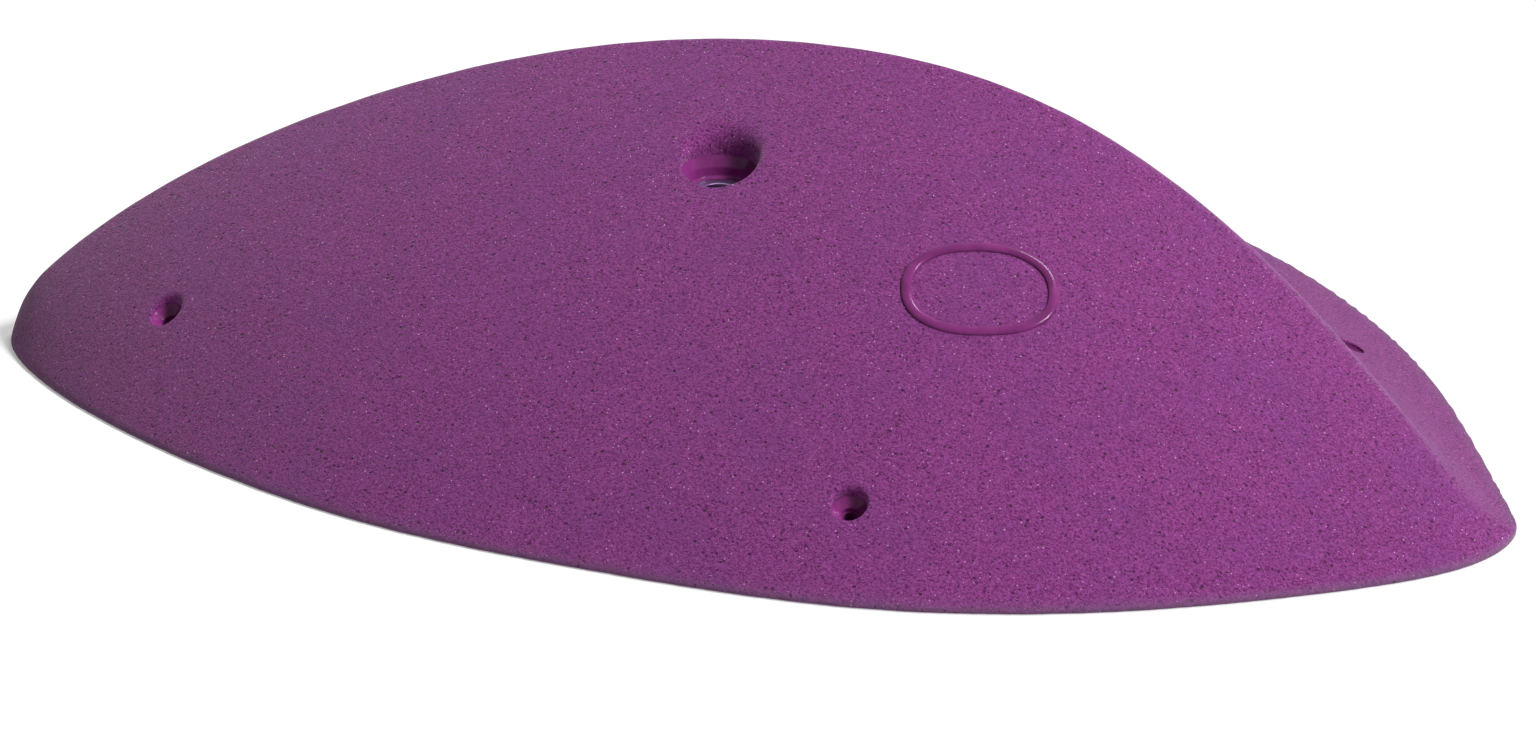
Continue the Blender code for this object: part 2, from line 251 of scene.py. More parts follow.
def cleanFaces(item, weld=2e-6):
    # splits the many-sided faces that a cut leaves, and drops slivers without area
    shape = bmesh.new()
    shape.from_mesh(item.data)
    bmesh.ops.triangulate(shape, faces=[f for f in shape.faces if len(f.verts) > 4])
    bmesh.ops.dissolve_degenerate(shape, dist=weld, edges=shape.edges)
    shape.to_mesh(item.data)
    shape.free()
    return item


# Bolt recess. Heights are from the washer's upper face: a narrow shelf over its rim, a nearly upright wall, a smooth
# cone and a hand-worked flare above it that carries the grain.
boltRecess = {
    "place": ((washerLow.x + washerHigh.x) / 2, (washerLow.y + washerHigh.y) / 2), "level": washerHigh.z,
    "seatRadius": 0.0096, "shelfRadius": 0.0113, "shelfHeight": 0.0007, "stepRadius": 0.0118, "stepHeight": 0.0042,
    "mouthRadius": 0.014, "mouthHeight": 0.0080, "flare": 0.10, "boreRadius": 0.006, "gap": 0.0001,
    "pocketGap": 0.0003, "lipShare": 0.75, "leastLip": 0.0003, "mostLip": 0.0075, "blockReach": 0.030,
    "top": 0.05, "belowSeat": 0.001, "belowBack": 0.01, "rounds": (0, 0.3 * mm, 0.5 * mm, 0.5 * mm, 0.1 * mm, 0),
}
# Screw holes. Each leans downhill by a share of the skin's slope. Heights are from the skin along the hole's axis.
screwHole = {
    "places": {"left": (-0.2125, -0.10802), "front": (0.0815, -0.17308), "right": (0.209, 0.05833)},
    "leanShare": 0.58, "plugDepth": 0.0016, "plugRadius": 0.0063, "coneRadius": 0.0031, "coneDepth": 0.0050,
    "landDepth": 0.0065, "throatRadius": 0.0025, "flare": 0.12, "lipShare": 0.7, "leastLip": 0.0006,
    "mostLip": 0.0040, "blockReach": 0.0145, "top": 0.02, "plugChamfer": (0.0002, 0.0006), "throatOverlap": 0.001,
    "throatSides": 40, "slopeStep": 0.004, "rounds": (0, 0.25 * mm, 0.3 * mm, 0.25 * mm, 0.2 * mm, 0),
}


def recesses():
    # every recess: its centre, axis, wall profile from the top down, and the height where the smooth plug begins
    b, s = boltRecess, screwHole
    topRadius = b["mouthRadius"] + b["flare"] * (b["top"] - b["mouthHeight"])
    corners = [(topRadius, b["top"]), (b["mouthRadius"], b["mouthHeight"]), (b["stepRadius"], b["stepHeight"]),
               (b["shelfRadius"], b["shelfHeight"]), (b["seatRadius"], b["gap"]), (b["seatRadius"], -b["belowSeat"])]
    wall = roundedProfile(corners, b["rounds"])
    found = [{"name": "bolt", "centre": np.array([*b["place"], b["level"]]), "axis": (0, 0, 1), "wall": wall,
              "plug": b["mouthHeight"], "plugRadius": b["mouthRadius"], "settings": b}]
    topRadius = s["plugRadius"] + s["flare"] * (s["top"] + s["plugDepth"])
    inwards, down = s["plugChamfer"]
    corners = [(topRadius, s["top"]), (s["plugRadius"], -s["plugDepth"]),
               (s["plugRadius"] - inwards, -s["plugDepth"] - down), (s["coneRadius"], -s["coneDepth"]),
               (s["coneRadius"], -s["landDepth"]), (s["throatRadius"], -s["landDepth"])]
    wall = roundedProfile(corners, s["rounds"], 3)
    for name, place in s["places"].items():
        slope = np.array([float(v) for v in skinSlope(*place, step=s["slopeStep"])])
        steep = np.linalg.norm(slope)
        lean = s["leanShare"] * math.atan(steep)
        axis = (*(-slope / steep * math.sin(lean)), math.cos(lean))
        found.append({"name": name, "centre": np.array([*place, float(skinHeight(*place))]), "axis": axis,
                      "wall": wall, "plug": -s["plugDepth"], "plugRadius": s["plugRadius"], "settings": s})
    return found


# Skin: stations from tip to tip, steps from the front edge over the crest to the back edge
skinGrid = {"stations": 356, "frontSteps": 84, "backSteps": 68, "crowding": 1.3, "sharpAngle": 38,
            "edgeRound": 0.0016, "footRound": 0.0005, "mostRound": 0.1, "roundSteps": 4}
# Rings that join a recess to the skin: from the gap's border to the lip, over the lip and down the wall
patchRings = {"spread": 9, "crowding": 0.85, "lip": 9, "wall": 14, "halvings": 40}


def edgeRows(x, edge, side):
    # from the skin round the edge: a quadratic curve over the corner, the upright edge and a small foot radius
    width = backEdge(x) - frontEdge(x)
    reach = np.minimum(skinGrid["edgeRound"], skinGrid["mostRound"] * width)
    foot = np.minimum(skinGrid["footRound"], skinGrid["mostRound"] * width)
    # two waves finer than the stations, multiplied, leave the trimmed edge ragged, most of all behind the right end
    longer, shorter = holdForm["jagLengths"]
    jag = 0.5 + 0.5 * np.sin(x / longer) * np.sin(x / shorter + side)
    ragged = holdForm["leastJag"] + (1 - holdForm["leastJag"]) * (side < 0) * smoothStep(*holdForm["jagStart"], x)
    edge = edge + side * holdForm["edgeJag"] * ragged * jag * tipFade(x)
    inside = edge + side * reach
    start = np.stack([x + 0 * inside, inside, skinHeight(x, inside)], -1)
    corner = np.stack([x, edge, np.full_like(x, holdForm["edgeHeight"])], -1)
    wall = np.stack([x, edge, np.full_like(x, 0.5 * holdForm["edgeHeight"])], -1)
    low = np.stack([x, edge, np.zeros_like(x)], -1)
    end = np.stack([x, edge + side * foot, np.zeros_like(x)], -1)
    s = np.linspace(0, 1, skinGrid["roundSteps"] + 1)[None, :, None]
    over = (1 - s) ** 2 * start[:, None] + 2 * s * (1 - s) * corner[:, None] + s ** 2 * wall[:, None]
    under = (1 - s) ** 2 * wall[:, None] + 2 * s * (1 - s) * low[:, None] + s ** 2 * end[:, None]
    return np.concatenate([over, under[:, 1:]], axis=1), inside


def holePatch(points, grid, block, recess):
    # fills a gap in the skin with rings: from the gap's border to a soft lip, and down the recess's wall
    i0, i1, j0, j1 = block
    settings, centre, wall = recess["settings"], recess["centre"], recess["wall"]
    axis, across, up = axisFrame(recess["axis"])
    border = np.concatenate([grid[i0:i1, j0], grid[i1, j0:j1], grid[i1:i0:-1, j1], grid[i0, j1:j0:-1]])
    edge = points[border]
    count = 2 * len(border)
    outer = np.stack([edge, (edge + np.roll(edge, -1, 0)) / 2], 1).reshape(-1, 3)
    angle = np.arctan2((outer - centre) @ up, (outer - centre) @ across)
    around = np.cos(angle)[:, None] * across + np.sin(angle)[:, None] * up
    length = np.concatenate([[0], np.cumsum(np.linalg.norm(np.diff(wall, axis=0), axis=1))])

    def wallAt(distance):
        radius, height = np.interp(distance, length, wall[:, 0]), np.interp(distance, length, wall[:, 1])
        return centre + np.multiply.outer(height, axis) + radius[:, None] * around

    # where the wall meets the skin, found by halving the interval for every direction at once
    low, high = np.zeros(count), np.full(count, length[-1])
    for _ in range(patchRings["halvings"]):
        middle = (low + high) / 2
        at = wallAt(middle)
        above = at[:, 2] > skinHeight(at[:, 0], at[:, 1])
        low, high = np.where(above, middle, low), np.where(above, high, middle)
    met = wallAt(low)
    tall = np.interp(low, length, wall[:, 1]) - recess["plug"]
    lip = np.clip(settings["lipShare"] * tall, settings["leastLip"], settings["mostLip"])
    outwards = (met - centre)[:, :2]
    outwards /= np.linalg.norm(outwards, axis=1)[:, None]
    start = met[:, :2] + outwards * lip[:, None]
    rings = []
    for share in np.linspace(0, 1, patchRings["spread"])[1:] ** patchRings["crowding"]:
        plan = outer[:, :2] + (start - outer[:, :2]) * share
        rings.append(np.column_stack([plan, skinHeight(plan[:, 0], plan[:, 1])]))
    begin, end = rings.pop(), wallAt(low + lip)
    for share in np.linspace(0, 1, patchRings["lip"]):
        rings.append((1 - share) ** 2 * begin + 2 * share * (1 - share) * met + share ** 2 * end)
    for distance in np.unique(np.concatenate([length, np.linspace(0, length[-1], patchRings["wall"])])):
        if distance > (low + lip).min():
            rings.append(wallAt(np.maximum(distance, low + lip)))
    rings.append(np.broadcast_to(centre + wall[-1, 1] * axis, rings[-1].shape))
    first = len(points)
    faces = (ringFaces(len(rings), count) + first).tolist()
    at = np.arange(len(border))
    ahead, even, odd = border[(at + 1) % len(border)], first + 2 * at, first + 2 * at + 1
    nextEven = first + (2 * at + 2) % count
    faces += np.stack([border, even, odd], -1).tolist() + np.stack([border, odd, ahead], -1).tolist()
    faces += np.stack([ahead, odd, nextEven], -1).tolist()
    return np.concatenate([points] + rings), faces


def makeSkin():
    # the closed outer form with its recesses, on a flat back
    g = skinGrid
    x = -holdForm["length"] / 2 * np.cos(math.pi * np.linspace(0, 1, g["stations"] + 1))
    frontRows, frontInside = edgeRows(x, frontEdge(x), 1)
    backRows, backInside = edgeRows(x, backEdge(x), -1)
    crest = np.clip(crestLine(x), frontInside, backInside)
    climb = 1 - (1 - np.linspace(0, 1, g["frontSteps"] + 1)) ** g["crowding"]
    fall = np.linspace(0, 1, g["backSteps"] + 1)[1:] ** g["crowding"]
    y = np.concatenate([frontInside[:, None] + (crest - frontInside)[:, None] * climb,
                        crest[:, None] + (backInside - crest)[:, None] * fall], axis=1)
    over = np.stack([np.broadcast_to(x[:, None], y.shape), y, skinHeight(x[:, None], y)], -1)
    rows = np.concatenate([frontRows[:, ::-1], over[:, 1:-1], backRows], axis=1)
    stations, steps = rows.shape[:2]
    points = rows.reshape(-1, 3)
    grid = np.arange(stations * steps).reshape(stations, steps)
    keep = np.ones((stations - 1, steps - 1), bool)
    faces = []
    for recess in recesses():
        near = (np.abs(rows[..., :2] - recess["centre"][:2]) < recess["settings"]["blockReach"]).all(-1)
        i, j = np.nonzero(near & (rows[..., 2] > holdForm["edgeHeight"]))
        block = i.min(), i.max(), j.min(), j.max()
        keep[block[0]:block[1], block[2]:block[3]] = False
        points, more = holePatch(points, grid, block, recess)
        faces += more
    quads, under = sheetFaces(grid)
    return meshObject("hold_casting", points, quads[keep].tolist() + faces + under.tolist())


# The hollow in the back, its columns and its ribs
hollowBack = {
    "wall": 0.012, "lip": 0.001, "least": 0.006, "stations": 100, "frontSteps": 30, "backSteps": 34, "depth": 0.01,
    "boltColumn": 0.024, "screwColumn": 0.013, "ribWidth": 0.010, "ribSetback": 0.004, "ribRound": 0.002,
    "ribDraft": 0.02, "backRibX": -0.095, "top": 0.14, "crowding": 1.8, "boltReach": 0.14, "screwReach": 0.06,
    "columnSides": 72,
}


def roofHeight(x, y):
    # the skin's height less a wall measured square to it
    slopeX, slopeY = skinSlope(x, y)
    return skinHeight(x, y) - hollowBack["wall"] * np.sqrt(1 + slopeX ** 2 + slopeY ** 2)


def makeHollow():
    # the roof between the two lines where it comes down to the lip, closed by a flat bottom below the back
    h = hollowBack
    x = np.linspace(-0.5, 0.5, samples)[1:-1, None] * holdForm["length"]
    across = np.linspace(0, 1, samples)
    high = roofHeight(x, frontEdge(x) + (backEdge(x) - frontEdge(x)) * across).max(axis=1) > h["least"]
    start, end = x[high].min(), x[high].max()
    x = (start + end) / 2 - (end - start) / 2 * np.cos(math.pi * np.linspace(0, 1, h["stations"] + 1))[:, None]
    y = frontEdge(x) + (backEdge(x) - frontEdge(x)) * across
    roof = roofHeight(x, y) - h["lip"]
    met = []
    for side in (1, -1):
        heights, places = roof[:, ::side], y[:, ::side]
        after = np.maximum((heights > 0).argmax(axis=1), 1)
        at = np.arange(len(x))
        low, up = heights[at, after - 1], heights[at, after]
        part = low / (low - up)
        met.append((places[at, after - 1] * (1 - part) + places[at, after] * part)[:, None])
    front, back = met
    crest = np.clip(crestLine(x), front, back)
    climb = 1 - (1 - np.linspace(0, 1, h["frontSteps"] + 1)) ** h["crowding"]
    fall = np.linspace(0, 1, h["backSteps"] + 1)[1:] ** h["crowding"]
    y = np.concatenate([front + (crest - front) * climb, crest + (back - crest) * fall], axis=1)
    z = np.maximum(roofHeight(x, y), h["lip"])
    top = np.stack([np.broadcast_to(x, y.shape), y, z], -1)
    low = top[:, [0, -1]] * (1, 1, 0) - (0, 0, h["depth"])
    rows = np.concatenate([low[:, :1], top, low[:, 1:]], axis=1)
    stations, steps = rows.shape[:2]
    grid = np.arange(stations * steps).reshape(stations, steps)
    quads, under = sheetFaces(grid)
    ends = [grid[0].tolist(), grid[-1].tolist()]
    return meshObject("hollow", rows.reshape(-1, 3), quads.reshape(-1, 4).tolist() + under.tolist() + ends)


def ribSolid(name, start, end):
    # an upright web between two places, wider towards its root, with its lower edges rounded
    h = hollowBack
    half, low = h["ribWidth"] / 2, h["ribSetback"]
    wide = half + h["ribDraft"] * (h["top"] - low)
    corners = [(-wide, h["top"]), (-half, low), (half, low), (wide, h["top"])]
    section = roundedProfile(corners, [0, h["ribRound"], h["ribRound"], 0])
    start, end = np.array(start), np.array(end)
    run = (end - start) / np.linalg.norm(end - start)
    side = np.array([-run[1], run[0]])
    ends = [np.concatenate([place + section[:, :1] * side, section[:, 1:]], axis=1) for place in (start, end)]
    count = len(section)
    caps = [list(range(count)), list(range(count, 2 * count))]
    return meshObject(name, np.concatenate(ends), ringFaces(2, count).tolist() + caps)


def rod(name, radius, centre, axis, low, high, around=96):
    return turnedSolid(name, [(0, high), (radius, high), (radius, low), (0, low)], centre, axis, around)


def makeCasting():
    # the skin less the hollow, in which the columns and ribs were left standing, and less the washer's pocket
    h, b, s = hollowBack, boltRecess, screwHole
    skin = makeSkin()
    print("skin made:", len(skin.data.vertices), "points")
    holes = recesses()
    left, cutters = [], []
    for hole in holes:
        centre, axis = hole["centre"], hole["axis"]
        kind = "bolt" if hole["name"] == "bolt" else "screw"
        column, reach = h[kind + "Column"], h[kind + "Reach"]
        left.append(rod(hole["name"] + "Column", column, centre, axis, -reach, reach, h["columnSides"]))
        if kind == "screw":
            halfWay = centre[:2] - np.array(axis[:2]) / axis[2] * centre[2] / 2
            left.append(ribSolid(hole["name"] + "Rib", b["place"], halfWay))
            cutters.append(rod(hole["name"] + "Throat", s["throatRadius"], centre, axis, -reach,
                               -s["landDepth"] + s["throatOverlap"], s["throatSides"]))
    left.append(ribSolid("backRib", b["place"], (h["backRibX"], float(backEdge(np.array(h["backRibX"]))))))
    cutters.append(cutWith(makeHollow(), left))
    bolt = holes[0]["centre"]
    cutters.append(rod("pocket", (washerHigh.x - washerLow.x) / 2 + b["pocketGap"], bolt, (0, 0, 1),
                       washerLow.z - washerHigh.z - b["gap"], b["gap"]))
    cutters.append(rod("bore", b["boreRadius"], bolt, (0, 0, 1), -b["level"] - b["belowBack"], 0))
    return cleanFaces(cutWith(skin, cutters))


def faceCentres(mesh):
    # centre and normal of every face, as arrays
    count = len(mesh.polygons)
    centre, normal = np.zeros(count * 3), np.zeros(count * 3)
    mesh.polygons.foreach_get("center", centre)
    mesh.polygons.foreach_get("normal", normal)
    return centre.reshape(-1, 3), normal.reshape(-1, 3)


# Where one finish gives way to the next: depths below the skin, a height above the back, widths beside a recess
# or the edge, and how far down a face of the ground rim looks
finishLimits = {"hollowDepth": 0.004, "plugDepth": 0.0001, "recessFloor": 0.003, "backHeight": 0.0003,
                "plugSide": 0.0004, "mouthSide": 0.006, "edgeSide": 0.003, "lookDown": -0.9}


def finishAreas(mesh):
    # 0 grained skin, 1 smooth recess walls, 2 ground rim, 3 hollow
    limits = finishLimits
    centre, normal = faceCentres(mesh)
    x, y, z = centre.T
    area = np.zeros(len(centre), int)
    sunk = skinHeight(x, y) - z
    area[(sunk > limits["hollowDepth"]) & (z > limits["backHeight"])] = 3
    for recess in recesses():
        axis = axisFrame(recess["axis"])[0]
        out = centre - recess["centre"]
        height = out @ axis
        radius = np.linalg.norm(out - height[:, None] * axis, axis=1)
        smooth = (height < recess["plug"]) & (height > recess["wall"][-1, 1] - limits["recessFloor"])
        smooth &= (radius < recess["plugRadius"] + limits["plugSide"]) & (sunk > limits["plugDepth"])
        area[smooth] = 1
        above = (height >= recess["plug"]) & (radius < recess["plugRadius"] + limits["mouthSide"])
        area[above & (area == 3)] = 0
    area[(normal[:, 2] < limits["lookDown"]) & (z < limits["backHeight"])] = 2
    edge = (y < frontEdge(x) + limits["edgeSide"]) | (y > backEdge(x) - limits["edgeSide"])
    area[edge & (z < holdForm["edgeHeight"]) & (area == 3)] = 0
    return area


def addAttribute(mesh, name, values):
    layer = mesh.attributes.new(name, "FLOAT", "POINT")
    layer.data.foreach_set("value", np.asarray(values, np.float32))


casting = makeCasting()
casting.data.calc_loop_triangles()
print("casting cut:", len(casting.data.loop_triangles), "triangles")
casting.data.shade_smooth()
casting.data.set_sharp_from_angle(angle=math.radians(skinGrid["sharpAngle"]))
spots = np.zeros(len(casting.data.vertices) * 3)
casting.data.vertices.foreach_get("co", spots)
spots = spots.reshape(-1, 3)

# Dust along the foot of the edge, and a pale line along the sharp part of the crest that is partly rubbed wear and
# partly a painted highlight
edgeDustAndCrestLine = {"dustHeight": (0.0010, 0.0036), "rubAndHighlightWidth": 0.0025, "rubAndHighlightStart": (0.05, 0.20), "rubAndHighlightEnd": (0.225, 0.28)}
addAttribute(casting.data, "edgeDust", 1 - smoothStep(*edgeDustAndCrestLine["dustHeight"], spots[:, 2]))
crestNear = np.abs(spots[:, 1] - crestLine(spots[:, 0])) / edgeDustAndCrestLine["rubAndHighlightWidth"]
addAttribute(casting.data, "crestRubAndHighlight", np.exp(-crestNear ** 2) * smoothStep(*edgeDustAndCrestLine["rubAndHighlightStart"], spots[:, 0])
             * (1 - smoothStep(*edgeDustAndCrestLine["rubAndHighlightEnd"], spots[:, 0])))
areas = finishAreas(casting.data)
print("faces of skin, recess walls, rim and hollow:", np.bincount(areas, minlength=4).tolist())

# A plain raised oval on the front face, a half-round bead that follows the skin
ovalBead = {"place": (0.1013, -0.0829), "turn": 20, "halfLength": 0.0265, "halfHeight": 0.0175, "square": 2.3,
            "width": 0.0040, "rise": 0.0011, "fullness": 0.8, "sink": 0.0006, "footShare": 0.9,
            "around": 220, "section": 14}


def makeBead():
    # a rounded oval, |x|^p + |y|^p = 1, laid on the skin; across it a half ellipse of the bead's width and rise
    o = ovalBead
    t = np.linspace(0, 2 * math.pi, o["around"], endpoint=False)
    power = 2 / o["square"]
    along = o["halfLength"] * np.sign(np.cos(t)) * np.abs(np.cos(t)) ** power
    up = o["halfHeight"] * np.sign(np.sin(t)) * np.abs(np.sin(t)) ** power
    turn = math.radians(o["turn"])
    x = o["place"][0] + along * math.cos(turn) - up * math.sin(turn)
    y = o["place"][1] + along * math.sin(turn) + up * math.cos(turn)
    run = np.stack([np.roll(x, -1) - np.roll(x, 1), np.roll(y, -1) - np.roll(y, 1)], -1)
    run /= np.linalg.norm(run, axis=1)[:, None]
    slopeX, slopeY = skinSlope(x, y)
    tangent = np.column_stack([run, run[:, 0] * slopeX + run[:, 1] * slopeY])
    tangent /= np.linalg.norm(tangent, axis=1)[:, None]
    normal = np.column_stack([-slopeX, -slopeY, np.ones_like(x)])
    normal /= np.linalg.norm(normal, axis=1)[:, None]
    side = np.cross(normal, tangent)
    s = np.linspace(0, math.pi, o["section"])
    across = np.concatenate([np.cos(s), [-o["footShare"], o["footShare"]]]) * o["width"] / 2
    height = np.concatenate([np.sin(s) ** o["fullness"] * o["rise"], [-o["sink"], -o["sink"]]])
    middle = np.column_stack([x, y, skinHeight(x, y)])
    points = middle[:, None] + across[None, :, None] * side[:, None] + height[None, :, None] * normal[:, None]
    ring, at = np.meshgrid(np.arange(o["around"]), np.arange(len(across)), indexing="ij")
    nextRing, nextAt = (ring + 1) % o["around"], (at + 1) % len(across)
    size = len(across)
    quads = np.stack([ring * size + at, nextRing * size + at, nextRing * size + nextAt, ring * size + nextAt], -1)
    return meshObject("raised_oval_bead", points.reshape(-1, 3), quads.reshape(-1, 4).tolist())


bead = makeBead()
bead.data.shade_smooth()
print("bead laid:", len(bead.data.polygons), "faces")

# Washer, stamped from steel sheet: rounded on the upper side where the punch pulled it in, square below
steelWasher = {"boreRadius": 0.0053, "upperRound": 0.0005, "lowerRound": 0.00015, "around": 128, "sharpAngle": 40}


def makeWasher():
    # a rounded rectangle of the ring's section carried round the bolt's axis
    w = steelWasher
    outer, deep = (washerHigh.x - washerLow.x) / 2, washerHigh.z - washerLow.z
    bore = w["boreRadius"]
    corners = [((outer + bore) / 2, 0), (bore, 0), (bore, -deep), (outer, -deep), (outer, 0), ((outer + bore) / 2, 0)]
    section = roundedProfile(corners, [0, w["upperRound"], w["lowerRound"], w["lowerRound"], w["upperRound"], 0], 5)
    centre = ((washerLow.x + washerHigh.x) / 2, (washerLow.y + washerHigh.y) / 2, washerHigh.z)
    return turnedSolid("stamped_washer", section, centre, around=w["around"])


washer = makeWasher()
washer.data.shade_smooth()
washer.data.set_sharp_from_angle(angle=math.radians(steelWasher["sharpAngle"]))

for piece, slot in ((casting, "cast_polyurethane"), (bead, "cast_polyurethane"), (washer, "washer_steel")):
    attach(piece, "root")
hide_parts("hold_body")
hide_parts("bolt_washer")

# Camera and light. Azimuth 0 is straight in front and 90 is to the right.
photograph = {"azimuth": 19, "elevation": 22.5, "distance": 1.6, "aim": (0.0271, -0.1014, 0.0404),
              "lens": 103.125, "sensor": 36, "clip": (0.05, 50)}
lamps = {
    "back_lamp": {"azimuth": 162, "elevation": 55, "strength": 0.95, "angle": 14},
    "right_lamp": {"azimuth": 95, "elevation": 48, "strength": 2.6, "angle": 14},
}
lampDistance = 2
ambientLight = 0.05
whiteFloor = {"colour": "#e8e8e8", "lift": 0.35, "half": 6.0, "level": -0.0002}


def direction(azimuth, elevation):
    a, e = math.radians(azimuth), math.radians(elevation)
    return Vector((math.sin(a) * math.cos(e), -math.cos(a) * math.cos(e), math.sin(e)))


def placeInScene(name, data, back, aim, distance):
    item = bpy.data.objects.new(name, data)
    bpy.context.scene.collection.objects.link(item)
    item.location = Vector(aim) + back * distance
    item.rotation_euler = (-back).to_track_quat("-Z", "Y").to_euler()
    return item


camera = bpy.data.cameras.new("camera")
camera.lens, camera.sensor_width = photograph["lens"], photograph["sensor"]
camera.clip_start, camera.clip_end = photograph["clip"]
bpy.context.scene.camera = placeInScene("camera", camera, direction(photograph["azimuth"], photograph["elevation"]),
                                        photograph["aim"], photograph["distance"])
bpy.context.scene.view_settings.view_transform = "Standard"
for name, lamp in lamps.items():
    data = bpy.data.lights.new(name, "SUN")
    data.energy, data.angle = lamp["strength"], math.radians(lamp["angle"])
    placeInScene(name, data, direction(lamp["azimuth"], lamp["elevation"]), (cadLow + cadHigh) / 2, lampDistance)


def linearColour(text):
    # sRGB hex to the linear values that shaders take
    values = [int(text[i:i + 2], 16) / 255 for i in (1, 3, 5)]
    return tuple([v / 12.92 if v <= 0.04045 else ((v + 0.055) / 1.055) ** 2.4 for v in values] + [1])


def addNode(tree, kind, values=None):
    # adds a node and returns its outputs; a socket among the values is linked, and hex text is a colour
    node = tree.nodes.new("ShaderNode" + kind)
    for key, value in (values or {}).items():
        if isinstance(value, bpy.types.NodeSocket):
            tree.links.new(value, node.inputs[key])
        elif isinstance(key, str) and key in node.bl_rna.properties:
            setattr(node, key, value)
        elif isinstance(value, str):
            node.inputs[key].default_value = linearColour(value)
        else:
            node.inputs[key].default_value = value
    return node.outputs


def newMaterial(name):
    material = bpy.data.materials.new(name)
    material.use_nodes = True
    material.node_tree.nodes.clear()
    return material, material.node_tree


def noiseScale(size):
    # for blotches of this size in millimetres, each half a cycle of the noise
    return 0.5 / (size * mm)


def cellScale(spacing):
    # for cells this many millimetres apart
    return 1 / (spacing * mm)


def twoTones(tree, pattern, limits, first, second):
    # from the first colour to the second as the pattern goes from the lower limit to the upper
    share = addNode(tree, "MapRange", {"Value": pattern, "From Min": limits[0], "From Max": limits[1]})[0]
    return addNode(tree, "Mix", {"data_type": "RGBA", 0: share, 6: first, 7: second})[2]


def raisedSurface(tree, strength, layers):
    # the surface's normal where each pattern raises it by its height in millimetres, added up
    height = 0.0
    for pattern, rise in layers:
        height = addNode(tree, "Math", {"operation": "MULTIPLY_ADD", 0: pattern, 1: rise * mm, 2: height})[0]
    return addNode(tree, "Bump", {"Strength": strength, "Distance": 1.0, "Height": height})[0]


# Polyurethane cast in a silicone mould taken from carved foam: dull, a sandy grain of open foam cells, burst cells
# sunk into pits that are painted dark as painted shade, a few shiny beads that are glossier and also painted pale as
# painted highlights, and a faint bluish clouding where the pigment settled. Sizes, depths and spacings are in
# millimetres. The grain is drawn coarser than the real one, which is too fine for the picture.
foamGrain = {
    "deep": "#680960", "pale": "#b052a8", "cloud": "#803e8e", "dust": "#8a6a8e", "pitPaintedShade": "#540a4e",
    "paintedGlintTone": "#ffc2fa", "rubAndHighlightTone": "#b98ab6", "grainSize": 0.50, "fineSize": 0.50, "cloudSize": 14,
    "cellShare": 0.5, "grainShift": -0.25, "grainRange": (0.12, 0.88), "cloudRange": (0.46, 0.66), "raggedness": 0.4,
    "cloudShare": 0.25, "smallPitShare": 0.75, "burstShare": 0.85, "glintShare": 0.9, "dustShare": 0.55,
    "rubAndHighlightShare": 0.35, "grainRise": 0.4, "burstRise": -0.6, "smallPitRise": -0.3, "glintRise": 0.15, "bump": 0.6,
    # burst cells and small pits are sunk by the bump and painted darker, which is painted shade in their hollows
    "burstCells": {"spacing": 2.3, "radius": 0.78, "share": 0.40, "seed": 0},
    "smallPits": {"spacing": 1.1, "radius": 0.42, "share": 0.34, "seed": 5},
    # glints are raised and glossier, and their pale colour is a painted highlight
    "glints": {"spacing": 1.6, "radius": 0.30, "share": 0.42, "seed": 3},
    "roughness": 0.86, "glintGloss": -0.5, "specular": 0.12, "sheen": 0.42, "sheenTint": "#c0d8c0",
}
spotForm = {"smallest": 0.4, "outside": 1.1, "inside": 0.6}  # shares of a spot's full radius


def scatteredSpots(tree, place, kind):
    # the random cells of a 3-D Voronoi pattern whose chance is high enough get a round spot, larger for a higher one
    size, least = kind["radius"] / kind["spacing"], 1 - kind["share"]
    moved = addNode(tree, "Mapping", {"Location": (kind["seed"],) * 3, "Vector": place})[0]
    cells = addNode(tree, "TexVoronoi", {"Scale": cellScale(kind["spacing"]), "Vector": moved})
    chance = addNode(tree, "SeparateColor", {"Color": cells["Color"]})[0]
    reach = addNode(tree, "MapRange", {"Value": chance, "From Min": least, "From Max": 1.0,
                                       "To Min": spotForm["smallest"] * size, "To Max": size})[0]
    chosen = addNode(tree, "Math", {"operation": "GREATER_THAN", 0: chance, 1: least})[0]
    near = addNode(tree, "Math", {"operation": "DIVIDE", 0: cells["Distance"], 1: reach})[0]
    spots = addNode(tree, "MapRange", {"Value": near, "From Min": spotForm["outside"],
                                       "From Max": spotForm["inside"]})[0]
    return addNode(tree, "Math", {"operation": "MULTIPLY", 0: spots, 1: chosen})[0]


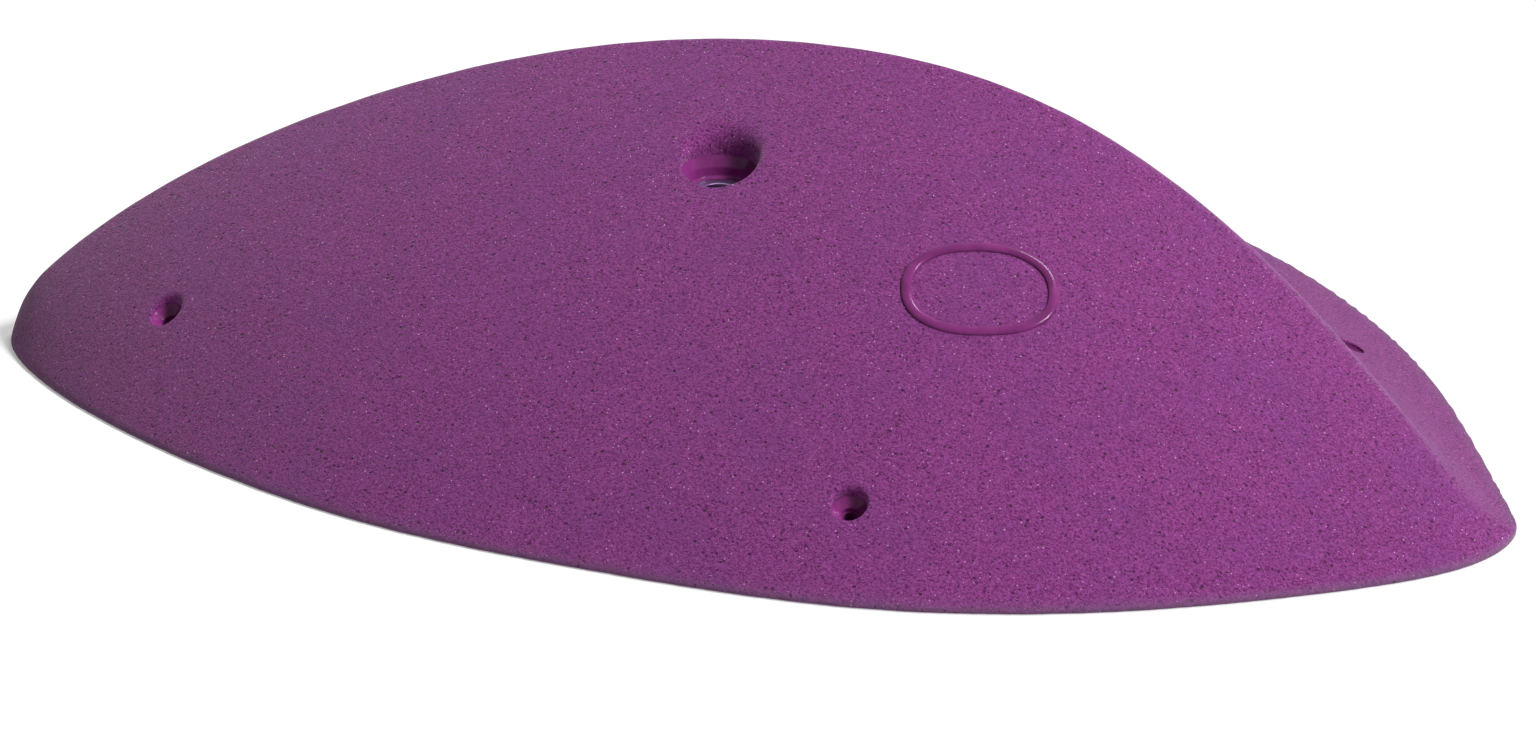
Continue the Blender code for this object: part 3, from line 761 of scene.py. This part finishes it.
def foamCastPolyurethane():
    f = foamGrain
    material, tree = newMaterial("foam_cast_polyurethane")
    spot = addNode(tree, "TexCoord")["Object"]
    cells = addNode(tree, "TexVoronoi", {"Scale": cellScale(f["grainSize"]), "Vector": spot})["Color"]
    cellTone = addNode(tree, "SeparateColor", {"Color": cells})[0]
    fine = addNode(tree, "TexNoise", {"Scale": noiseScale(f["fineSize"]), "Detail": 2.0, "Roughness": 0.6,
                                      "Vector": spot})
    cloud = addNode(tree, "TexNoise", {"Scale": noiseScale(f["cloudSize"]), "Detail": 3.0, "Roughness": 0.6,
                                       "Vector": spot})["Fac"]
    cloud = addNode(tree, "MapRange", {"Value": cloud, "From Min": f["cloudRange"][0],
                                       "From Max": f["cloudRange"][1]})[0]
    grain = addNode(tree, "Math", {"operation": "ADD", 0: fine["Fac"], 1: f["grainShift"]})[0]
    grain = addNode(tree, "Math", {"operation": "MULTIPLY_ADD", 0: cellTone, 1: f["cellShare"], 2: grain})[0]
    # a spot's outline is made ragged by pushing its place about by up to half of the raggedness
    ragged = addNode(tree, "VectorMath", {"operation": "MULTIPLY_ADD", 0: fine["Color"],
                                          1: (f["raggedness"] * mm,) * 3, 2: spot})[0]
    pits = scatteredSpots(tree, ragged, f["burstCells"])
    smallPits = scatteredSpots(tree, ragged, f["smallPits"])
    glints = scatteredSpots(tree, ragged, f["glints"])
    dust = addNode(tree, "Attribute", {"attribute_name": "edgeDust"})["Fac"]
    # the crest line's pale colour is partly rubbed wear and partly a painted highlight
    rubAndHighlight = addNode(tree, "Attribute", {"attribute_name": "crestRubAndHighlight"})["Fac"]
    body = twoTones(tree, grain, f["grainRange"], f["deep"], f["pale"])
    for marks, share, colour in (
            (cloud, f["cloudShare"], f["cloud"]), (smallPits, f["smallPitShare"], f["pitPaintedShade"]),
            (pits, f["burstShare"], f["pitPaintedShade"]), (glints, f["glintShare"], f["paintedGlintTone"]),
            (dust, f["dustShare"], f["dust"]), (rubAndHighlight, f["rubAndHighlightShare"], f["rubAndHighlightTone"])):
        share = addNode(tree, "Math", {"operation": "MULTIPLY", 0: marks, 1: share})[0]
        body = addNode(tree, "Mix", {"data_type": "RGBA", 0: share, 6: body, 7: colour})[2]
    layers = [(grain, f["grainRise"]), (pits, f["burstRise"]), (smallPits, f["smallPitRise"]),
              (glints, f["glintRise"])]
    normal = raisedSurface(tree, f["bump"], layers)
    roughness = addNode(tree, "Math", {"operation": "MULTIPLY_ADD", 0: glints, 1: f["glintGloss"],
                                       2: f["roughness"]})[0]
    shader = addNode(tree, "BsdfPrincipled", {
        "IOR": 1.5, "Specular IOR Level": f["specular"], "Sheen Weight": f["sheen"], "Sheen Roughness": 0.5,
        "Sheen Tint": f["sheenTint"], "Base Color": body, "Roughness": roughness, "Normal": normal})[0]
    addNode(tree, "OutputMaterial", {"Surface": shader})
    return material


# The same polyurethane where it was cast against turned plugs or a laid wax cord: smooth, with a soft gloss
plugWall = {"colour": "#943886", "shade": "#822e76", "leastRoughness": 0.11, "roughSpread": 0.12, "specular": 0.15,
            "streakSize": 5, "streakRange": (0.4, 0.6), "fineSize": 0.7, "fineRise": 0.05, "bump": 0.5}


def plugCastPolyurethane():
    p = plugWall
    material, tree = newMaterial("plug_cast_polyurethane")
    spot = addNode(tree, "TexCoord")["Object"]
    streak = addNode(tree, "TexNoise", {"Scale": noiseScale(p["streakSize"]), "Detail": 4.0, "Vector": spot})["Fac"]
    fine = addNode(tree, "TexNoise", {"Scale": noiseScale(p["fineSize"]), "Detail": 2.0, "Vector": spot})["Fac"]
    body = twoTones(tree, streak, p["streakRange"], p["shade"], p["colour"])
    normal = raisedSurface(tree, p["bump"], [(fine, p["fineRise"])])
    roughness = addNode(tree, "Math", {"operation": "MULTIPLY_ADD", 0: fine, 1: p["roughSpread"],
                                       2: p["leastRoughness"]})[0]
    shader = addNode(tree, "BsdfPrincipled", {"IOR": 1.5, "Specular IOR Level": p["specular"], "Base Color": body,
                                              "Roughness": roughness, "Normal": normal})[0]
    addNode(tree, "OutputMaterial", {"Surface": shader})
    return material


# The rim of the back, ground flat on a belt: straight fine scratches and a paler, dusty tone
groundRim = {"colour": "#8a4a86", "scratch": "#a574a2", "scratchWidth": 0.5, "scratchLength": 30,
             "scratchTurn": 12, "scratchRange": (0.45, 0.7), "scratchRise": 0.1, "bump": 0.4,
             "roughness": 0.7, "specular": 0.3}


def groundPolyurethane():
    g = groundRim
    material, tree = newMaterial("belt_ground_polyurethane")
    spot = addNode(tree, "TexCoord")["Object"]
    stretched = addNode(tree, "Mapping", {
        "Rotation": (0, 0, math.radians(g["scratchTurn"])),
        "Scale": (g["scratchWidth"] / g["scratchLength"], 1, 1), "Vector": spot})[0]
    lines = addNode(tree, "TexNoise", {"Scale": noiseScale(g["scratchWidth"]), "Detail": 2.0,
                                       "Vector": stretched})["Fac"]
    body = twoTones(tree, lines, g["scratchRange"], g["colour"], g["scratch"])
    normal = raisedSurface(tree, g["bump"], [(lines, g["scratchRise"])])
    shader = addNode(tree, "BsdfPrincipled", {"IOR": 1.5, "Roughness": g["roughness"], "Base Color": body,
                                              "Specular IOR Level": g["specular"], "Normal": normal})[0]
    addNode(tree, "OutputMaterial", {"Surface": shader})
    return material


# The hollow, cast against a silicone core: semi-matt, with slow flow marks and small round air bubbles, sunk by the
# bump and painted dark as painted shade
coreWall = {"colour": "#853a80", "flow": "#75326f", "bubblePaintedShade": "#4a1f47", "flowSize": 40,
            "flowRange": (0.4, 0.6), "flowRise": 0.6, "bubbleSpacing": 7, "bubbleRadius": 0.8,
            "bubbleOutside": 1.1, "bubbleInside": 0.7, "bubbleShare": 0.5, "bubbleRise": -0.4, "bump": 0.6,
            "roughness": 0.5, "specular": 0.4}


def coreCastPolyurethane():
    c = coreWall
    material, tree = newMaterial("core_cast_polyurethane")
    spot = addNode(tree, "TexCoord")["Object"]
    flow = addNode(tree, "TexNoise", {"Scale": noiseScale(c["flowSize"]), "Detail": 2.0, "Distortion": 1.5,
                                      "Vector": spot})["Fac"]
    cells = addNode(tree, "TexVoronoi", {"Scale": cellScale(c["bubbleSpacing"]), "Vector": spot})["Distance"]
    size = c["bubbleRadius"] / c["bubbleSpacing"]
    bubbles = addNode(tree, "MapRange", {"Value": cells, "From Min": c["bubbleOutside"] * size,
                                         "From Max": c["bubbleInside"] * size})[0]
    body = twoTones(tree, flow, c["flowRange"], c["flow"], c["colour"])
    share = addNode(tree, "Math", {"operation": "MULTIPLY", 0: bubbles, 1: c["bubbleShare"]})[0]
    body = addNode(tree, "Mix", {"data_type": "RGBA", 0: share, 6: body, 7: c["bubblePaintedShade"]})[2]
    normal = raisedSurface(tree, c["bump"], [(flow, c["flowRise"]), (bubbles, c["bubbleRise"])])
    shader = addNode(tree, "BsdfPrincipled", {"IOR": 1.5, "Roughness": c["roughness"], "Base Color": body,
                                              "Specular IOR Level": c["specular"], "Normal": normal})[0]
    addNode(tree, "OutputMaterial", {"Surface": shader})
    return material


# Zinc-plated mild steel, stamped: a bluish-grey bright metal with fine turned marks and a thin film of mould release;
# the lilac of its colour and the purple of the film are partly a painted reflection of the purple recess walls
zincWasher = {"colour": "#a593b8", "stainAndReflection": "#77558a", "leastRoughness": 0.26, "roughSpread": 0.25,
              "ringPitch": 0.35, "ringRise": 0.02, "stainAndReflectionSize": 3, "stainAndReflectionRange": (0.45, 0.7), "bump": 0.3}


def zincPlatedSteel():
    z = zincWasher
    material, tree = newMaterial("zinc_plated_steel")
    spot = addNode(tree, "TexCoord")["Object"]
    centred = addNode(tree, "Mapping", {"Location": (-boltRecess["place"][0], -boltRecess["place"][1], 0),
                                        "Vector": spot})[0]
    # a wave pattern goes through 20 radians in each unit of its scale
    rings = addNode(tree, "TexWave", {"wave_type": "RINGS", "rings_direction": "Z", "Distortion": 1.2, "Detail": 2.0,
                                      "Scale": fullTurn / (20 * z["ringPitch"] * mm), "Vector": centred})["Fac"]
    stainAndReflection = addNode(tree, "TexNoise", {"Scale": noiseScale(z["stainAndReflectionSize"]), "Detail": 3.0, "Vector": spot})["Fac"]
    body = twoTones(tree, stainAndReflection, z["stainAndReflectionRange"], z["colour"], z["stainAndReflection"])
    normal = raisedSurface(tree, z["bump"], [(rings, z["ringRise"])])
    roughness = addNode(tree, "Math", {"operation": "MULTIPLY_ADD", 0: stainAndReflection, 1: z["roughSpread"],
                                       2: z["leastRoughness"]})[0]
    shader = addNode(tree, "BsdfPrincipled", {"Metallic": 1.0, "Base Color": body, "Roughness": roughness,
                                              "Normal": normal})[0]
    addNode(tree, "OutputMaterial", {"Surface": shader})
    return material


def setMaterials(piece, materials, areas=None):
    piece.data.materials.clear()
    for material in materials:
        piece.data.materials.append(material)
    if areas is None:
        areas = np.zeros(len(piece.data.polygons), int)
    piece.data.polygons.foreach_set("material_index", areas.astype(np.int32))
    piece.data.update()


plugCast = plugCastPolyurethane()
setMaterials(casting, [foamCastPolyurethane(), plugCast, groundPolyurethane(), coreCastPolyurethane()], areas)
setMaterials(bead, [plugCast])
setMaterials(washer, [zincPlatedSteel()])
print("materials set")


def seenByEye(tree):
    # 1 for what the eye sees directly, in a reflection or through glass, and 0 for what only lights the object
    rays = addNode(tree, "LightPath")
    seen = addNode(tree, "Math", {"operation": "MAXIMUM", 0: rays["Is Camera Ray"], 1: rays["Is Glossy Ray"]})[0]
    return addNode(tree, "Math", {"operation": "MAXIMUM", 0: seen, 1: rays["Is Transmission Ray"]})[0]


def makeStudio():
    # white all round to the eye and in reflections, with a weak even light of its own
    world = bpy.data.worlds.new("studio")
    bpy.context.scene.world = world
    world.use_nodes = True
    tree = world.node_tree
    tree.nodes.clear()
    strength = addNode(tree, "MapRange", {"Value": seenByEye(tree), "To Min": ambientLight, "To Max": 1.0})[0]
    sky = addNode(tree, "Background", {"Strength": strength})[0]
    addNode(tree, "OutputWorld", {"Surface": sky})


def makeFloor():
    # a white sheet; the eye sees it lifted to plain white, less the object's shadow
    half, level = whiteFloor["half"], whiteFloor["level"]
    corners = [(-half, -half, level), (half, -half, level), (half, half, level), (-half, half, level)]
    mesh = bpy.data.meshes.new("floor")
    mesh.from_pydata(corners, [], [(0, 1, 2, 3)])
    item = bpy.data.objects.new("floor", mesh)
    bpy.context.scene.collection.objects.link(item)
    material, tree = newMaterial("white_paper")
    paper = addNode(tree, "BsdfDiffuse", {"Color": whiteFloor["colour"]})[0]
    strength = addNode(tree, "Math", {"operation": "MULTIPLY", 0: seenByEye(tree), 1: whiteFloor["lift"]})[0]
    lift = addNode(tree, "Emission", {"Strength": strength})[0]
    both = addNode(tree, "AddShader", {0: paper, 1: lift})[0]
    addNode(tree, "OutputMaterial", {"Surface": both})
    mesh.materials.append(material)


makeStudio()
makeFloor()
